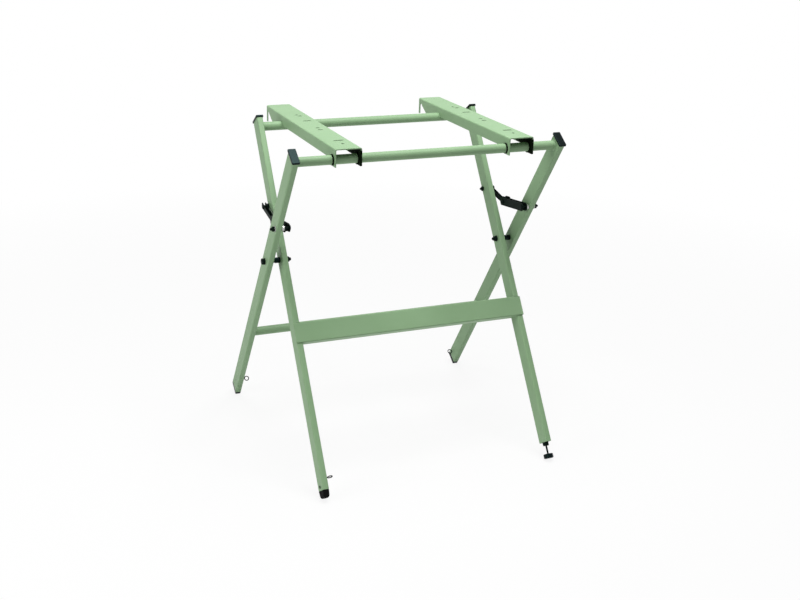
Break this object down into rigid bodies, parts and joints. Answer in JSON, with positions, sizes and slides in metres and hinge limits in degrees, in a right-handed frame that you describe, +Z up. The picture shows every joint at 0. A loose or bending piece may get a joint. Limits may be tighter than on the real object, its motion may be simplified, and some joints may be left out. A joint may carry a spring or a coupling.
{
  "type": "miter_saw_stand",
  "caption": "Folding miter saw stand with crossed tube leg frames, slotted channel rails on top, folding side stays and a screw levelling foot.",
  "frame": {"origin": "bottom centre of the object's box, on the floor it stands on", "axes": "+Z up, +X to the right seen from the front, +Y to the back; the top rails run along Y"},
  "size_m": [0.7002, 0.6764, 0.7993],
  "materials": {
    "sage_paint": "satin powder coat",
    "black_plastic": "fine moulded grain",
    "black_rubber": "matte",
    "black_steel": "black coated steel, slightly glossy",
    "zinc_steel": "zinc plated"
  },
  "bodies": {
    "outer_frame": {"outer_leg_left": "sage_paint", "outer_leg_right": "sage_paint", "front_top_tube": "sage_paint", "rear_lower_tube": "sage_paint", "outer_top_cap_left": "black_plastic", "outer_top_cap_right": "black_plastic", "rear_foot_cap_left": "black_plastic", "rear_foot_cap_right": "black_plastic", "rear_tie_eye_left": "black_steel", "rear_tie_eye_right": "black_steel", "pivot_bolt_left": "black_steel", "pivot_bolt_right": "black_steel", "pivot_nut_left": "black_steel", "pivot_nut_right": "black_steel", "pivot_head_washer_left": "black_steel", "pivot_head_washer_right": "black_steel", "pivot_nut_washer_left": "black_steel", "pivot_nut_washer_right": "black_steel", "pivot_spacer_left": "black_plastic", "pivot_spacer_right": "black_plastic", "stay_spacer_left": "zinc_steel", "stay_spacer_right": "zinc_steel", "stay_washer_left": "zinc_steel", "stay_washer_right": "zinc_steel", "stay_bolt_left": "black_steel", "stay_bolt_right": "black_steel", "stay_nut_left": "black_steel", "stay_nut_right": "black_steel"},
    "inner_frame": {"inner_leg_left": "sage_paint", "inner_leg_right": "sage_paint", "rear_top_tube": "sage_paint", "front_panel": "sage_paint", "inner_top_cap_left": "black_plastic", "inner_top_cap_right": "black_plastic", "front_rubber_foot": "black_rubber", "rubber_foot_rivet": "black_steel", "front_tie_eye": "black_steel", "levelling_end_nut": "black_steel", "stay_anchor_bolt_left": "black_steel", "stay_anchor_bolt_right": "black_steel", "stay_anchor_nut_left": "black_steel", "stay_anchor_nut_right": "black_steel"},
    "stay_front_left": {"stay_front_arm_left": "black_steel"},
    "stay_front_right": {"stay_front_arm_right": "black_steel"},
    "stay_rear_left": {"stay_rear_arm_left": "black_steel", "stay_rivet_left": "black_steel", "stay_end_pin_left": "black_steel"},
    "stay_rear_right": {"stay_rear_arm_right": "black_steel", "stay_rivet_right": "black_steel", "stay_end_pin_right": "black_steel"},
    "rail_slide_left": {"rail_left_bush_left": "black_plastic", "rail_left_bush_right": "black_plastic"},
    "rail_slide_right": {"rail_right_bush_left": "black_plastic", "rail_right_bush_right": "black_plastic"},
    "rail_left": {"top_rail_left": "sage_paint", "rail_guide_plate_left": "black_plastic"},
    "rail_right": {"top_rail_right": "sage_paint", "rail_guide_plate_right": "black_plastic"},
    "levelling_stem": {"levelling_screw": "black_steel"},
    "levelling_wheel": {"levelling_knob": "black_plastic"}
  },
  "joints": [
    {"name": "fold", "type": "hinge", "parent": "outer_frame", "child": "inner_frame", "pos_m": [0, -0.00084, 0.4815], "axis": [1, 0, 0], "range_deg": [0, 60]},
    {"name": "stay_front_fold_left", "type": "hinge", "parent": "outer_frame", "child": "stay_front_left", "pos_m": [-0.30965, -0.0893, 0.58815], "axis": [1, 0, 0], "range_deg": [-9.5, 0]},
    {"name": "stay_front_fold_right", "type": "hinge", "parent": "outer_frame", "child": "stay_front_right", "pos_m": [0.30965, -0.0893, 0.58815], "axis": [1, 0, 0], "range_deg": [-9.5, 0]},
    {"name": "stay_rear_fold_left", "type": "hinge", "parent": "stay_front_left", "child": "stay_rear_left", "pos_m": [-0.30965, 0.01099, 0.57644], "axis": [1, 0, 0], "range_deg": [0, 135]},
    {"name": "stay_rear_fold_right", "type": "hinge", "parent": "stay_front_right", "child": "stay_rear_right", "pos_m": [0.30965, 0.01099, 0.57644], "axis": [1, 0, 0], "range_deg": [0, 135]},
    {"name": "rail_slide_left", "type": "slide", "parent": "outer_frame", "child": "rail_slide_left", "axis": [1, 0, 0], "range_m": [-0.045, 0.1]},
    {"name": "rail_slide_right", "type": "slide", "parent": "outer_frame", "child": "rail_slide_right", "axis": [1, 0, 0], "range_m": [-0.12, 0.025]},
    {"name": "rail_swing_left", "type": "hinge", "parent": "rail_slide_left", "child": "rail_left", "pos_m": [-0.2045, -0.19491, 0.76917], "axis": [1, 0, 0], "range_deg": [0, 288]},
    {"name": "rail_swing_right", "type": "hinge", "parent": "rail_slide_right", "child": "rail_right", "pos_m": [0.226, -0.19491, 0.76917], "axis": [1, 0, 0], "range_deg": [0, 288]},
    {"name": "levelling_travel", "type": "slide", "parent": "inner_frame", "child": "levelling_stem", "axis": [0, -0.5664, -0.8241], "range_m": [-0.004, 0.008]},
    {"name": "levelling_turn", "type": "hinge", "parent": "levelling_stem", "child": "levelling_wheel", "pos_m": [0.2925, -0.32098, 0.01569], "axis": [0, -0.5664, -0.8241], "range_deg": [-1800, 3600]}
  ],
  "couplings": [
    {"joint": "stay_front_fold_left", "follows": "fold", "ratio": -0.15621},
    {"joint": "stay_front_fold_right", "follows": "fold", "ratio": -0.15621},
    {"joint": "stay_rear_fold_left", "follows": "fold", "ratio": 2.245},
    {"joint": "stay_rear_fold_right", "follows": "fold", "ratio": 2.245},
    {"joint": "rail_swing_left", "follows": "fold", "ratio": 4.8},
    {"joint": "rail_swing_right", "follows": "fold", "ratio": 4.8},
    {"joint": "levelling_travel", "follows": "levelling_turn", "m_per_rad": 0.00012732}
  ]
}
